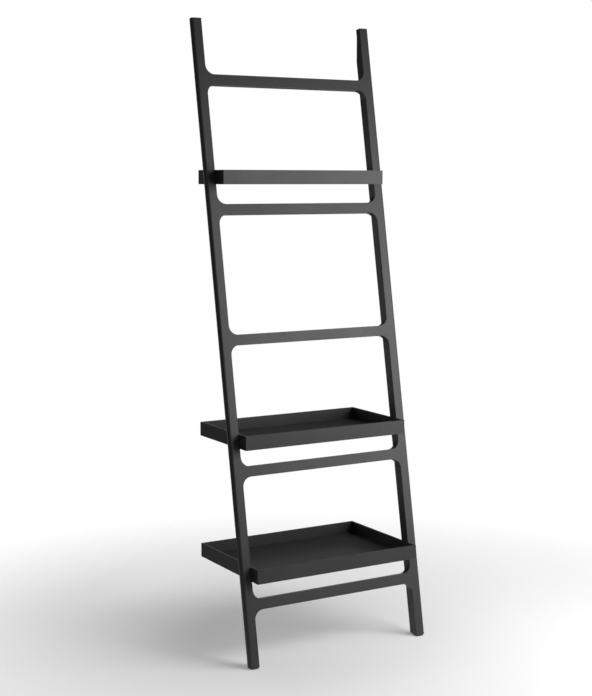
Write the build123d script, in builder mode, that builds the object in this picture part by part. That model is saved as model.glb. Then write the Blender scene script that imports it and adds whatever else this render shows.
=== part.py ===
# Leaning ladder shelf: a wooden ladder frame with three open trays, made to rest against a wall.
# Millimetres. +X to the right seen from the front, +Y towards the wall, +Z up.
# Origin: on the floor, half way across the ladder and half way from the stile fronts to the wall.
from build123d import *
import os
from math import asin, atan2, cos, hypot, sin, sqrt, tan

os.makedirs("parts", exist_ok=True)

# Overall sizes
overall_width = 662.0  # across the two stiles
overall_depth = 394.0  # from the front of the feet to the wall
top_gap = 6.4  # between the stile tops and the wall

# Stiles
stile_length = 2032.5  # along the slope, wood only
stile_width = 34.0
stile_depth = 36.0  # square to the ladder plane
outer_front_radius = 9.0
outer_rear_radius = stile_depth - outer_front_radius

# Rungs, counted from the top
rung_count = 5
rung_height = 33.0
rung_depth = 24.0  # shallower than the stiles, flush with their fronts
rung_pitch = 411.7
bottom_rung_rise = 191.0  # foot to the middle of the lowest rung, along the slope
corner_radius = 30.0  # concave corners between rungs and stiles

# Trays: name, the rung below it, rise of its underside above that rung's middle,
# and how far its front stands out from the ladder's front face
board = 7.5  # thickness of every tray board
tray_height = 45.0
trays_on_rungs = (
    ("top", 2, 79.5, 54.0),
    ("middle", 4, 73.5, 43.0),
    ("bottom", 5, 73.0, 41.0),
)
tongue_thickness = 3.0
tongue_length = 3.0
tongue_clearance = 0.1

# Dowels in the rung joints
dowel_diameter = 8.0
dowel_length = 40.0
dowel_spacing = 15.0
dowel_clearance = 0.1
dowel_end_gap = 1.0

# Screws and threaded inserts that hold the trays
screw_diameter = 5.0
screw_head_diameter = 10.0
screw_head_height = 2.5
screw_length = 18.0
screw_spacing = 14.0
screw_rise = 26.0  # above the underside of the tray
screw_clearance = 0.2
socket_width = 3.0
socket_depth = 1.6
insert_diameter = 8.0
insert_length = 12.0
insert_clearance = 0.05
insert_end_gap = 2.0

# Foot pads
pad_thickness = 4.0
pad_length = 22.0
pad_width = 26.0
pad_setback = 1.0
pad_screw_diameter = 3.5
pad_screw_head = 7.0
pad_screw_length = 20.0
pad_screw_recess = 1.0

# Wall bushes in the upright flats behind the stile tops, for a pin fixed to the wall
flat_drop = 105.0  # from the top of the stile down to where the flat begins, along the slope
flat_cut = 14.5  # how far the stile top is cut back, square to the slope
bush_inset = 12.0  # stile's inner face to the bush's axis
bush_bore = 8.2
bush_diameter = 12.0
bush_length = 20.0
bush_flange_diameter = 16.0
bush_flange_thickness = 1.5
bush_clearance = 0.05
bush_end_gap = 1.0

# Derived positions
top_depth = stile_depth - flat_cut
lean = asin((overall_depth - top_gap) / hypot(stile_length, top_depth)) - atan2(
    top_depth, stile_length
)
lean_sin, lean_cos, lean_tan = sin(lean), cos(lean), tan(lean)
front_y = -overall_depth / 2
wall_y = overall_depth / 2
outer_x = overall_width / 2
inner_x = outer_x - stile_width
joint_x = inner_x - corner_radius
rungs = [bottom_rung_rise + (rung_count - 1 - i) * rung_pitch for i in range(rung_count)]

flat_start = stile_length - flat_drop

# Ladder plane: local x to the right, local y up the slope, normal to the front.
ladder_front = Plane(
    origin=(0, front_y, pad_thickness), x_dir=(1, 0, 0), z_dir=(0, -lean_cos, lean_sin)
)
# Side plane: local x through the ladder towards the wall, local y up the slope, normal to +X.
ladder_side = Plane(
    origin=(0, front_y, pad_thickness), x_dir=(0, lean_cos, -lean_sin), z_dir=(1, 0, 0)
)
# Section plane: local x to the right, local y through the ladder, normal up the slope.
ladder_section = Plane(
    origin=(0, front_y, pad_thickness), x_dir=(1, 0, 0), z_dir=(0, lean_sin, lean_cos)
)


def stile_front_y(height):
    """Y of the ladder's front face at a height above the floor."""
    return front_y + (height - pad_thickness) * lean_tan


def rung_middle_z(number):
    """Height of a rung's middle above the floor."""
    return pad_thickness + rungs[number - 1] * lean_cos - rung_depth / 2 * lean_sin


def tray_fixings(bottom):
    """Y and Z of the two fixing screws on each side of a tray."""
    height = bottom + screw_rise
    middle = stile_front_y(height) + stile_depth / lean_cos / 2
    return [(middle - screw_spacing / 2, height), (middle + screw_spacing / 2, height)]


# Each tray's name, underside and front; all of them end at the wall.
trays = []
for name, number, rise, overhang in trays_on_rungs:
    bottom = rung_middle_z(number) + rise
    trays.append((name, bottom, stile_front_y(bottom + tray_height / 2) - overhang))

# ------------------------------------------------------------------ left stile
flat_y = front_y + flat_start * lean_sin + stile_depth * lean_cos
flat_low_z = pad_thickness + flat_start * lean_cos - stile_depth * lean_sin
bush_x = inner_x + bush_inset
bush_z = flat_low_z + flat_cut / lean_sin / 2
half_pi_point = sqrt(0.5)
fixings = [yz for _, bottom, _ in trays for yz in tray_fixings(bottom)]
wall_side = Plane(origin=(0, flat_y, 0), x_dir=(-1, 0, 0), z_dir=(0, 1, 0))
sideways = Plane(origin=(0, 0, 0), x_dir=(0, 1, 0), z_dir=(1, 0, 0))
pad_y = front_y + pad_setback + pad_length / 2
pad_x = inner_x + stile_width / 2 - (stile_width - pad_width) / 4

with BuildPart() as left_stile:
    with BuildSketch(ladder_section) as section:
        with BuildLine():
            front_arc_x = -outer_x + outer_front_radius
            rear_arc_x = -outer_x + outer_rear_radius
            Polyline(
                (rear_arc_x, stile_depth),
                (-inner_x, stile_depth),
                (-inner_x, 0),
                (front_arc_x, 0),
            )
            ThreePointArc(
                (front_arc_x, 0),
                (
                    front_arc_x - outer_front_radius * half_pi_point,
                    outer_front_radius * (1 - half_pi_point),
                ),
                (-outer_x, outer_front_radius),
            )
            ThreePointArc(
                (-outer_x, outer_front_radius),
                (
                    rear_arc_x - outer_rear_radius * half_pi_point,
                    outer_front_radius + outer_rear_radius * half_pi_point,
                ),
                (rear_arc_x, stile_depth),
            )
        make_face()
    extrude(amount=stile_length)

    # Stubs with the concave corners, one at each rung
    with BuildSketch(ladder_front):
        for rise in rungs:
            high, low = rise + rung_height / 2, rise - rung_height / 2
            bend = corner_radius * (1 - half_pi_point)
            with BuildLine():
                ThreePointArc(
                    (-inner_x, high + corner_radius),
                    (-inner_x + bend, high + bend),
                    (-joint_x, high),
                )
                Line((-joint_x, high), (-joint_x, low))
                ThreePointArc(
                    (-joint_x, low),
                    (-inner_x + bend, low - bend),
                    (-inner_x, low - corner_radius),
                )
                Polyline(
                    (-inner_x, low - corner_radius),
                    (-inner_x - 1, low - corner_radius),
                    (-inner_x - 1, high + corner_radius),
                    (-inner_x, high + corner_radius),
                )
            make_face()
    extrude(amount=-rung_depth)

    # Dowel holes into the stubs
    with BuildSketch(ladder_side.offset(-joint_x)):
        for rise in rungs:
            with Locations((rung_depth / 2, rise)):
                with GridLocations(0, dowel_spacing, 1, 2):
                    Circle(dowel_diameter / 2 + dowel_clearance)
    extrude(amount=-(dowel_length / 2 + dowel_end_gap), mode=Mode.SUBTRACT)

    # Holes for the threaded inserts
    with BuildSketch(sideways.offset(-inner_x)):
        with Locations(*fixings):
            Circle(insert_diameter / 2 + insert_clearance)
    extrude(amount=-(insert_length + insert_end_gap), mode=Mode.SUBTRACT)

    # Foot cut level with the floor
    with BuildSketch(Plane.XY.offset(pad_thickness)):
        with Locations((0, front_y)):
            Rectangle(2 * overall_width, 4 * stile_depth)
    extrude(amount=-2 * stile_depth, mode=Mode.SUBTRACT)

    # Upright flat behind the top, then the rest of the top cut back evenly
    with BuildSketch(ladder_side.offset(-inner_x)):
        with BuildLine():
            Polyline(
                (stile_depth + 5, flat_start - 5 / lean_tan),
                (stile_depth - flat_cut, flat_start + flat_cut / lean_tan),
                (stile_depth - flat_cut, stile_length + 5),
                (stile_depth + 5, stile_length + 5),
                close=True,
            )
        make_face()
    extrude(amount=-2 * stile_width, both=True, mode=Mode.SUBTRACT)

    # Stepped hole for the wall bush
    with BuildSketch(wall_side):
        with Locations((bush_x, bush_z)):
            Circle(bush_flange_diameter / 2 + bush_clearance)
    extrude(amount=-bush_flange_thickness, mode=Mode.SUBTRACT)
    with BuildSketch(wall_side):
        with Locations((bush_x, bush_z)):
            Circle(bush_diameter / 2 + bush_clearance)
    extrude(amount=-(bush_length + bush_end_gap), mode=Mode.SUBTRACT)

    # Pilot hole for the foot pad's screw
    with BuildSketch(Plane.XY):
        with Locations((-pad_x, pad_y)):
            Circle(pad_screw_diameter / 2 + insert_clearance)
    extrude(amount=pad_screw_length + pad_screw_recess + dowel_end_gap, mode=Mode.SUBTRACT)
left_stile.part.label = "left_stile"
export_step(left_stile.part, "parts/left_stile.step")

with BuildPart() as right_stile:
    add(mirror(left_stile.part, about=Plane.YZ, mode=Mode.PRIVATE))
right_stile.part.label = "right_stile"
export_step(right_stile.part, "parts/right_stile.step")

# ----------------------------------------------------------------------- rungs
for number, rise in enumerate(rungs, start=1):
    with BuildPart() as rung:
        with BuildSketch(ladder_front):
            with Locations((0, rise)):
                Rectangle(2 * joint_x, rung_height)
        extrude(amount=-rung_depth)
        for end in (-1, 1):
            with BuildSketch(ladder_side.offset(end * joint_x)):
                with Locations((rung_depth / 2, rise)):
                    with GridLocations(0, dowel_spacing, 1, 2):
                        Circle(dowel_diameter / 2 + dowel_clearance)
            extrude(amount=-end * (dowel_length / 2 + dowel_end_gap), mode=Mode.SUBTRACT)
    rung.part.label = f"rung_{number}"
    export_step(rung.part, f"parts/rung_{number}.step")

with BuildPart() as rung_dowels:
    for end in (-1, 1):
        for rise in rungs:
            with BuildSketch(ladder_side.offset(end * joint_x)):
                with Locations((rung_depth / 2, rise)):
                    with GridLocations(0, dowel_spacing, 1, 2):
                        Circle(dowel_diameter / 2)
            extrude(amount=dowel_length / 2, both=True)
    chamfer(rung_dowels.edges().filter_by(GeomType.CIRCLE), 1)
rung_dowels.part.label = "rung_dowels"
export_step(rung_dowels.part, "parts/rung_dowels.step")

# ----------------------------------------------------------------------- trays
half_width = inner_x
for name, bottom, front in trays:
    rear = wall_y
    inner_w, inner_d = 2 * (half_width - board), rear - front - 2 * board
    middle_y = (front + rear) / 2
    tongue_z = bottom + (board - tongue_thickness) / 2
    corners = {
        "front": [
            (-half_width, front),
            (half_width, front),
            (half_width - board, front + board),
            (-half_width + board, front + board),
        ],
        "rear": [
            (-half_width, rear),
            (half_width, rear),
            (half_width - board, rear - board),
            (-half_width + board, rear - board),
        ],
        "left": [
            (-half_width, front),
            (-half_width, rear),
            (-half_width + board, rear - board),
            (-half_width + board, front + board),
        ],
        "right": [
            (half_width, front),
            (half_width, rear),
            (half_width - board, rear - board),
            (half_width - board, front + board),
        ],
    }
    for side, outline in corners.items():
        with BuildPart() as wall_board:
            with BuildSketch(Plane.XY.offset(bottom)):
                with BuildLine():
                    Polyline(*outline, close=True)
                make_face()
            extrude(amount=tray_height)
            # Groove for the tongue of the floor board
            with BuildSketch(Plane.XY.offset(tongue_z - tongue_clearance)):
                with Locations((0, middle_y)):
                    Rectangle(
                        inner_w + 2 * (tongue_length + tongue_clearance),
                        inner_d + 2 * (tongue_length + tongue_clearance),
                    )
            extrude(amount=tongue_thickness + 2 * tongue_clearance, mode=Mode.SUBTRACT)
            if side in ("left", "right"):
                end = -1 if side == "left" else 1
                with BuildSketch(sideways.offset(end * (half_width - board))):
                    with Locations(*tray_fixings(bottom)):
                        Circle(screw_diameter / 2 + screw_clearance)
                extrude(amount=end * board, mode=Mode.SUBTRACT)
                for y, z in tray_fixings(bottom):
                    with Locations(
                        Plane(
                            origin=(end * (half_width - board), y, z), x_dir=(0, 1, 0), z_dir=(end, 0, 0)
                        )
                    ):
                        Cone(
                            screw_head_diameter / 2 + screw_clearance,
                            screw_diameter / 2 + screw_clearance,
                            screw_head_height,
                            align=(Align.CENTER, Align.CENTER, Align.MIN),
                            mode=Mode.SUBTRACT,
                        )
        wall_board.part.label = f"tray_{name}_{side}"
        export_step(wall_board.part, f"parts/tray_{name}_{side}.step")

    with BuildPart() as floor_board:
        with BuildSketch(Plane.XY.offset(bottom)):
            with Locations((0, middle_y)):
                Rectangle(inner_w, inner_d)
        extrude(amount=board)
        with BuildSketch(Plane.XY.offset(tongue_z)):
            with Locations((0, middle_y)):
                Rectangle(inner_w + 2 * tongue_length, inner_d + 2 * tongue_length)
        extrude(amount=tongue_thickness)
    floor_board.part.label = f"tray_{name}_floor"
    export_step(floor_board.part, f"parts/tray_{name}_floor.step")

    with BuildPart() as tray_screws:
        for end in (-1, 1):
            for y, z in tray_fixings(bottom):
                seat = Plane(
                    origin=(end * (half_width - board), y, z), x_dir=(0, 1, 0), z_dir=(end, 0, 0)
                )
                with Locations(seat):
                    Cone(
                        screw_head_diameter / 2,
                        screw_diameter / 2,
                        screw_head_height,
                        align=(Align.CENTER, Align.CENTER, Align.MIN),
                    )
                    Cylinder(
                        screw_diameter / 2,
                        screw_length,
                        align=(Align.CENTER, Align.CENTER, Align.MIN),
                    )
                with BuildSketch(seat):
                    RegularPolygon(socket_width / 2, 6, major_radius=False)
                extrude(amount=socket_depth, mode=Mode.SUBTRACT)
    tray_screws.part.label = f"tray_{name}_screws"
    export_step(tray_screws.part, f"parts/tray_{name}_screws.step")

# --------------------------------------------------- threaded inserts in stiles
for hand, end in (("left", -1), ("right", 1)):
    with BuildPart() as inserts:
        with BuildSketch(sideways.offset(end * inner_x)):
            with Locations(*fixings):
                Circle(insert_diameter / 2)
                Circle(screw_diameter / 2 + insert_clearance, mode=Mode.SUBTRACT)
        extrude(amount=end * insert_length)
    inserts.part.label = f"{hand}_inserts"
    export_step(inserts.part, f"parts/{hand}_inserts.step")

# ------------------------------------------------------- wall bushes at the top
for hand, end in (("left", 1), ("right", -1)):
    with BuildPart() as bush:
        with BuildSketch(wall_side):
            with Locations((end * bush_x, bush_z)):
                Circle(bush_flange_diameter / 2)
        extrude(amount=-bush_flange_thickness)
        with BuildSketch(wall_side):
            with Locations((end * bush_x, bush_z)):
                Circle(bush_diameter / 2)
        extrude(amount=-bush_length)
        with BuildSketch(wall_side):
            with Locations((end * bush_x, bush_z)):
                Circle(bush_bore / 2)
        extrude(amount=-bush_length, mode=Mode.SUBTRACT)
    bush.part.label = f"{hand}_wall_bush"
    export_step(bush.part, f"parts/{hand}_wall_bush.step")

# -------------------------------------------------------------------- foot pads
for hand, end in (("left", -1), ("right", 1)):
    with BuildPart() as pad:
        with BuildSketch(Plane.XY):
            with Locations((end * pad_x, pad_y)):
                RectangleRounded(pad_width, pad_length, 3)
        extrude(amount=pad_thickness)
        chamfer(pad.faces().sort_by(Axis.Z)[0].edges(), 0.6)
        with BuildSketch(Plane.XY):
            with Locations((end * pad_x, pad_y)):
                Circle(pad_screw_diameter / 2 + screw_clearance)
        extrude(amount=pad_thickness, mode=Mode.SUBTRACT)
        with BuildSketch(Plane.XY):
            with Locations((end * pad_x, pad_y)):
                Circle(pad_screw_head / 2 + screw_clearance)
        extrude(amount=pad_screw_recess, mode=Mode.SUBTRACT)
        with Locations((end * pad_x, pad_y, pad_screw_recess)):
            Cone(
                pad_screw_head / 2 + screw_clearance,
                pad_screw_diameter / 2 + screw_clearance,
                pad_thickness / 2,
                align=(Align.CENTER, Align.CENTER, Align.MIN),
                mode=Mode.SUBTRACT,
            )
    pad.part.label = f"{hand}_foot_pad"
    export_step(pad.part, f"parts/{hand}_foot_pad.step")

with BuildPart() as foot_screws:
    for end in (-1, 1):
        with Locations((end * pad_x, pad_y, pad_screw_recess)):
            Cone(
                pad_screw_head / 2,
                pad_screw_diameter / 2,
                pad_thickness / 2,
                align=(Align.CENTER, Align.CENTER, Align.MIN),
            )
            Cylinder(
                pad_screw_diameter / 2,
                pad_screw_length,
                align=(Align.CENTER, Align.CENTER, Align.MIN),
            )
foot_screws.part.label = "foot_screws"
export_step(foot_screws.part, "parts/foot_screws.step")
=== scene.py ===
import math

import bmesh
import bpy
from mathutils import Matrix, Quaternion, Vector


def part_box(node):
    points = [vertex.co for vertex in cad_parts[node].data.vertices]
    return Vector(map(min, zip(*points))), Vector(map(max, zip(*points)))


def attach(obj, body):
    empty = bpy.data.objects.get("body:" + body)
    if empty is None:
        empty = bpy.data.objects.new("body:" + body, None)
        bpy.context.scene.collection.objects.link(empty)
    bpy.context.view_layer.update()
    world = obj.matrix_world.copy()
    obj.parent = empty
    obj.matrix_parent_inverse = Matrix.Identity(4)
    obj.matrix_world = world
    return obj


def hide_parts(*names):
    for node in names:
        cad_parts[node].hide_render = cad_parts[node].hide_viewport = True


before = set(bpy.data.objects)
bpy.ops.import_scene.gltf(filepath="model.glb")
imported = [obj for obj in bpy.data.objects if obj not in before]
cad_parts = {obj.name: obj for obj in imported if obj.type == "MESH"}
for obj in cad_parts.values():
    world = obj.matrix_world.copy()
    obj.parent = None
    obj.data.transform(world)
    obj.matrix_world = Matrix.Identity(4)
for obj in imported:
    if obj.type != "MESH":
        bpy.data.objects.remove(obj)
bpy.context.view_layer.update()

MM = 0.001

# ----------------------------------------------------------------------- pieces
STILES = ("left_stile", "right_stile")
RUNGS = tuple(f"rung_{i}" for i in range(1, 6))
TRAYS = ("top", "middle", "bottom")
SIDES = ("front", "rear", "left", "right")



def centre_of(node):
    lo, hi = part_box(node)
    return (lo + hi) / 2


UP_SLOPE = (centre_of("rung_1") - centre_of("rung_5")).normalized()
JOINT_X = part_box("rung_1")[1].x  # where the rungs meet the stubs of the stiles


# ------------------------------------------------------------------- materials
def nodes_of(mat):
    mat.use_nodes = True
    nt = mat.node_tree
    nt.nodes.clear()
    out = nt.nodes.new("ShaderNodeOutputMaterial")
    bsdf = nt.nodes.new("ShaderNodeBsdfPrincipled")
    nt.links.new(bsdf.outputs[0], out.inputs["Surface"])
    return nt, bsdf


def noise(nt, vec, scale, detail=2.0, rough=0.5):
    n = nt.nodes.new("ShaderNodeTexNoise")
    n.inputs["Scale"].default_value = scale
    n.inputs["Detail"].default_value = detail
    n.inputs["Roughness"].default_value = rough
    nt.links.new(vec, n.inputs["Vector"])
    return n.outputs["Fac"]


def ramp(nt, value, lo, hi, a=0.0, b=1.0):
    m = nt.nodes.new("ShaderNodeMapRange")
    m.inputs["From Min"].default_value = lo
    m.inputs["From Max"].default_value = hi
    m.inputs["To Min"].default_value = a
    m.inputs["To Max"].default_value = b
    nt.links.new(value, m.inputs["Value"])
    return m.outputs["Result"]


def mix(nt, fac, a, b):
    m = nt.nodes.new("ShaderNodeMix")
    m.data_type = "RGBA"
    m.inputs["A"].default_value = (*a, 1)
    m.inputs["B"].default_value = (*b, 1)
    nt.links.new(fac, m.inputs["Factor"])
    return m.outputs["Result"]


def bump(nt, height, strength, distance, under=None):
    b = nt.nodes.new("ShaderNodeBump")
    b.inputs["Strength"].default_value = strength
    b.inputs["Distance"].default_value = distance
    nt.links.new(height, b.inputs["Height"])
    if under is not None:
        nt.links.new(under, b.inputs["Normal"])
    return b.outputs["Normal"]


def object_coords(nt):
    return nt.nodes.new("ShaderNodeTexCoord").outputs["Object"]


def lacquer():
    """Matt charcoal lacquer, sprayed on sanded board: a faint mottle and a fine orange peel."""
    mat = bpy.data.materials.new("charcoal_lacquer_finish")
    nt, bsdf = nodes_of(mat)
    pos = object_coords(nt)
    mottle = noise(nt, pos, 9.0, 3.0)
    peel = noise(nt, pos, 420.0, 2.0)
    dust = noise(nt, pos, 1500.0, 1.0)
    col = mix(nt, ramp(nt, mottle, 0.3, 0.7), (0.0285, 0.0288, 0.0295), (0.0335, 0.0337, 0.0342))
    nt.links.new(col, bsdf.inputs["Base Color"])
    nt.links.new(ramp(nt, mottle, 0.3, 0.7, 0.47, 0.53), bsdf.inputs["Roughness"])
    n1 = bump(nt, peel, 0.10, 0.00012)
    n2 = bump(nt, dust, 0.05, 0.00005, n1)
    nt.links.new(n2, bsdf.inputs["Normal"])
    bsdf.inputs["IOR"].default_value = 1.5
    return mat


def simple(name, colour_a, colour_b, rough_a, rough_b, metallic=0.0, scale=200.0, relief=0.00005):
    mat = bpy.data.materials.new(name)
    nt, bsdf = nodes_of(mat)
    pos = object_coords(nt)
    n = noise(nt, pos, scale, 3.0)
    nt.links.new(mix(nt, n, colour_a, colour_b), bsdf.inputs["Base Color"])
    nt.links.new(ramp(nt, n, 0.3, 0.7, rough_a, rough_b), bsdf.inputs["Roughness"])
    nt.links.new(bump(nt, n, 0.2, relief), bsdf.inputs["Normal"])
    bsdf.inputs["Metallic"].default_value = metallic
    return mat


LACQUER = lacquer()
BEECH = simple("dowel_finish", (0.52, 0.34, 0.19), (0.62, 0.44, 0.27), 0.55, 0.65, scale=120.0)
SCREW = simple("screw_finish", (0.018, 0.018, 0.019), (0.03, 0.03, 0.032), 0.32, 0.42)
BRASS = simple("insert_finish", (0.52, 0.38, 0.16), (0.62, 0.47, 0.22), 0.28, 0.4, metallic=1.0)
STEEL = simple("bush_finish", (0.5, 0.5, 0.51), (0.6, 0.6, 0.6), 0.3, 0.42, metallic=1.0)
RUBBER = simple("pad_finish", (0.016, 0.016, 0.016), (0.024, 0.024, 0.024), 0.7, 0.85, scale=600.0)


def paint(obj, mat):
    obj.data.materials.clear()
    obj.data.materials.append(mat)


# -------------------------------------------------------------- finished pieces
ALONG_X, ALONG_Y, ALONG_Z = Vector((1, 0, 0)), Vector((0, 1, 0)), Vector((0, 0, 1))
HANDS = ("left", "right")
DOWEL_OFFSET = 7.5 * MM  # from the middle of a rung, along the slope
SCREW_OFFSET = 7.0 * MM  # from the middle of a tray's pair of screws
DOWEL_HOLE = 4.1 * MM
SCREW_HOLES = (4.05 * MM, 2.7 * MM, 5.2 * MM)  # insert seat, shank and head
BUSH_SEATS = (8.05 * MM, 6.05 * MM)  # flange and body
FOOT_SCREW_HOLE = 1.8 * MM
EDGE_ON_RIM = 0.03 * MM
EDGE_ON_JOINT = 0.05 * MM

HOLES = []  # a point on the axis, its direction and the radius of every drilled hole
for rung in RUNGS:
    for side in (-DOWEL_OFFSET, DOWEL_OFFSET):
        HOLES.append((centre_of(rung) + UP_SLOPE * side, ALONG_X, DOWEL_HOLE))
for tray in TRAYS:
    for side in (-SCREW_OFFSET, SCREW_OFFSET):
        axis = centre_of(f"tray_{tray}_screws") + Vector((0, side, 0))
        HOLES += [(axis, ALONG_X, radius) for radius in SCREW_HOLES]
for hand in HANDS:
    HOLES += [(centre_of(f"{hand}_wall_bush"), ALONG_Y, radius) for radius in BUSH_SEATS]
    HOLES.append((centre_of(f"{hand}_foot_pad"), ALONG_Z, FOOT_SCREW_HOLE))


def off_axis(p, point, direction):
    """How far p is from the axis through point."""
    return (p - point - direction * (p - point).dot(direction)).length


def on_rim(a, b):
    """True for an edge on the rim of a drilled hole, which stays sharp."""
    return any(
        all(abs(off_axis(p, point, direction) - radius) < EDGE_ON_RIM for p in (a, b))
        for point, direction, radius in HOLES
    )


def on_joint(a, b):
    """True for an edge in the plane where a rung meets a stile, which stays sharp."""
    return all(abs(abs(p.x) - JOINT_X) < EDGE_ON_JOINT for p in (a, b))


LEVEL = 0.01 * MM
LONG_EDGE = 60 * MM


def board_edge(a, b):
    """True for a board's long straight edges, along X or Y."""
    d = b - a
    return abs(d.z) < LEVEL and d.length > LONG_EDGE and min(abs(d.x), abs(d.y)) < LEVEL


MERGE = 0.002 * MM
FLAT, CORNER, SHARP = (math.radians(a) for a in (0.5, 30, 35))


def finished(node, width, wanted):
    """A copy of a CAD node with its corners eased, standing in for it."""
    bm = bmesh.new()
    bm.from_mesh(bpy.data.objects[node].data)
    bmesh.ops.remove_doubles(bm, verts=bm.verts, dist=MERGE)
    bmesh.ops.dissolve_limit(
        bm,
        angle_limit=FLAT,
        verts=bm.verts,
        edges=bm.edges,
        use_dissolve_boundaries=False,
    )
    chosen = [
        e
        for e in bm.edges
        if len(e.link_faces) == 2
        and e.calc_face_angle() > CORNER
        and wanted(e.verts[0].co, e.verts[1].co)
    ]
    bmesh.ops.bevel(
        bm,
        geom=chosen,
        offset=width,
        offset_type="OFFSET",
        segments=3,
        profile=0.5,
        affect="EDGES",
        clamp_overlap=True,
    )
    for f in bm.faces:
        f.smooth = True
    mesh = bpy.data.meshes.new(f"{node}_finished")
    bm.to_mesh(mesh)
    bm.free()
    mesh.set_sharp_from_angle(angle=SHARP)
    obj = bpy.data.objects.new(f"{node}_finished", mesh)
    bpy.context.scene.collection.objects.link(obj)
    normals = obj.modifiers.new("face_normals", "WEIGHTED_NORMAL")
    normals.keep_sharp = True
    paint(obj, LACQUER)
    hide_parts(node)
    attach(obj, "root")
    return obj


def frame_edge(a, b):
    return not on_joint(a, b) and not on_rim(a, b)


def tray_edge(heights):
    """Picks a board's long edges at the given heights."""
    return lambda a, b: board_edge(a, b) and any(abs(a.z - z) < 2 * LEVEL for z in heights)


FRAME_EASE = 0.5 * MM
TRAY_EASE = 0.2 * MM
for name in (*STILES, *RUNGS):
    finished(name, FRAME_EASE, frame_edge)

for tray in TRAYS:
    for side in SIDES:
        board = f"tray_{tray}_{side}"
        lo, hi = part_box(board)
        finished(board, TRAY_EASE, tray_edge((lo.z, hi.z)))
    paint(bpy.data.objects[f"tray_{tray}_floor"], LACQUER)
    paint(bpy.data.objects[f"tray_{tray}_screws"], SCREW)
paint(bpy.data.objects["rung_dowels"], BEECH)
paint(bpy.data.objects["foot_screws"], SCREW)
for hand in HANDS:
    paint(bpy.data.objects[f"{hand}_inserts"], BRASS)
    paint(bpy.data.objects[f"{hand}_wall_bush"], STEEL)
    paint(bpy.data.objects[f"{hand}_foot_pad"], RUBBER)

# ------------------------------------------------------------------------ floor
# A pale disc that fades out towards its rim. It also glows as painted light that brightens the
# floor and lifts its shadows, more so further from the shelf.
FLOOR_RADIUS = 2.2
FADE = (1.7, 0.35)  # from the centre: clear from the first, solid up to the second
# painted light: the floor's glow, weakest near the shelf and strongest towards the rim
PAINTED_GLOW_REACH = (0.4, 1.6)
PAINTED_GLOW = (0.22, 0.38)

floor_mesh = bpy.data.meshes.new("floor")
bm = bmesh.new()
bmesh.ops.create_circle(bm, cap_ends=True, radius=FLOOR_RADIUS, segments=96)
bm.to_mesh(floor_mesh)
bm.free()
floor = bpy.data.objects.new("floor", floor_mesh)
bpy.context.scene.collection.objects.link(floor)
floor_mat = bpy.data.materials.new("floor_paper")
nt, bsdf = nodes_of(floor_mat)
grain = noise(nt, object_coords(nt), 60.0, 2.0)
nt.links.new(mix(nt, grain, (0.90, 0.90, 0.90), (0.93, 0.93, 0.93)), bsdf.inputs["Base Color"])
bsdf.inputs["Roughness"].default_value = 0.9
bsdf.inputs["Specular IOR Level"].default_value = 0.1
bsdf.inputs["Emission Color"].default_value = (1, 1, 1, 1)
reach = nt.nodes.new("ShaderNodeVectorMath")
reach.operation = "LENGTH"
nt.links.new(object_coords(nt), reach.inputs[0])
distance = reach.outputs["Value"]
nt.links.new(ramp(nt, distance, *FADE), bsdf.inputs["Alpha"])
# painted light: emission makes the floor glow, which brightens it and its shadows
nt.links.new(ramp(nt, distance, *PAINTED_GLOW_REACH, *PAINTED_GLOW), bsdf.inputs["Emission Strength"])
floor.data.materials.append(floor_mat)

# ------------------------------------------------------------------------ light
# An even grey room with a round white backdrop behind the shelf.
ROOM = (0.11, 0.11, 0.11)
WHITE = (1.0, 1.0, 1.0)
BACKDROP_AIM = (0.507, 0.854, -0.119)
BACKDROP_EDGE = (0.92, 0.95)

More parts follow.
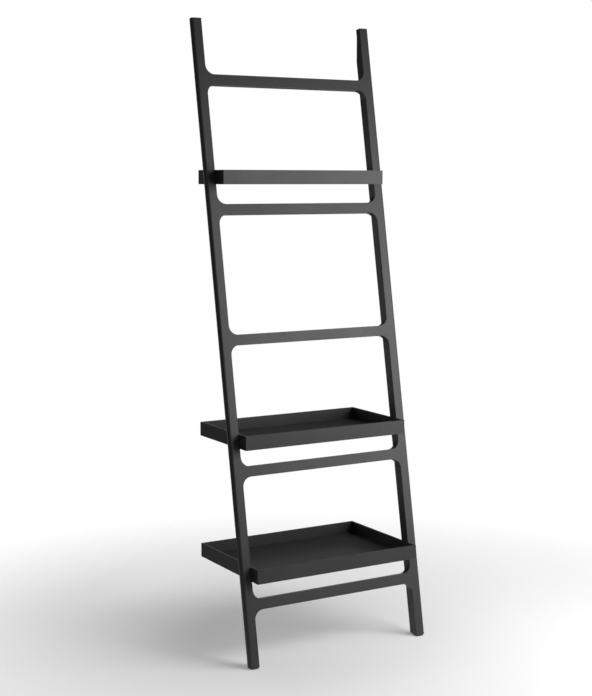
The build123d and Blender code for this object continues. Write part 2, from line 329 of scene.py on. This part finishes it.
world = bpy.data.worlds.new("studio")
bpy.context.scene.world = world
world.use_nodes = True
wt = world.node_tree
wt.nodes.clear()
w_out = wt.nodes.new("ShaderNodeOutputWorld")
w_bg = wt.nodes.new("ShaderNodeBackground")
wt.links.new(w_bg.outputs[0], w_out.inputs["Surface"])
coords = wt.nodes.new("ShaderNodeTexCoord").outputs["Generated"]
aim = wt.nodes.new("ShaderNodeVectorMath")
aim.operation = "DOT_PRODUCT"
aim.inputs[1].default_value = BACKDROP_AIM
wt.links.new(coords, aim.inputs[0])
panel = ramp(wt, aim.outputs["Value"], *BACKDROP_EDGE)
wt.links.new(mix(wt, panel, ROOM, WHITE), w_bg.inputs["Color"])
w_bg.inputs["Strength"].default_value = 1.0


def softbox(name, place, aim, size, power):
    light = bpy.data.lights.new(name, "AREA")
    light.shape = "RECTANGLE"
    light.size, light.size_y = size
    light.energy = power
    obj = bpy.data.objects.new(name, light)
    bpy.context.scene.collection.objects.link(obj)
    obj.location = place
    obj.rotation_euler = (Vector(aim) - Vector(place)).to_track_quat("-Z", "Y").to_euler()
    return obj


# Two soft keys and a fill in front and to the right; a weak panel behind, hidden from the
# camera, lights the side of the right stile that faces the left one.
KEY_AIM = (0.0, 0.0, 1.05)
softbox("key_high", (0.918, -1.311, 1.75), KEY_AIM, (1.3, 1.0), 14.2)
softbox("key_low", (0.918, -1.311, 1.10), KEY_AIM, (1.3, 1.0), 12.8)
softbox("side_fill", (1.386, -0.80, 0.60), KEY_AIM, (1.0, 0.8), 5.2)
back_fill = softbox("back_fill", (-0.29, 0.95, 0.95), (0.31, 0.0, 0.95), (0.25, 1.5), 1.3)
back_fill.visible_camera = False

# ----------------------------------------------------------------------- camera
CAM_PLACE = (-2.3248, -3.8263, 1.4969)
CAM_YAW, CAM_PITCH, CAM_ROLL = (math.radians(a) for a in (30.726, -6.860, 0.038))
CAM_LENS, CAM_SENSOR = 72.13, 36.0

cam_data = bpy.data.cameras.new("camera")
cam = bpy.data.objects.new("camera", cam_data)
bpy.context.scene.collection.objects.link(cam)
cam_data.sensor_fit = "AUTO"
cam_data.sensor_width = CAM_SENSOR
cam_data.lens = CAM_LENS
cam.location = CAM_PLACE
level = math.cos(CAM_PITCH)
forward = Vector((math.sin(CAM_YAW) * level, math.cos(CAM_YAW) * level, math.sin(CAM_PITCH)))
cam.rotation_mode = "QUATERNION"
cam.rotation_quaternion = forward.to_track_quat("-Z", "Y") @ Quaternion((0, 0, 1), CAM_ROLL)
cam_data.clip_start, cam_data.clip_end = 0.05, 60.0
bpy.context.scene.camera = cam

bpy.context.scene.view_settings.view_transform = "Standard"
bpy.context.scene.view_settings.look = "None"
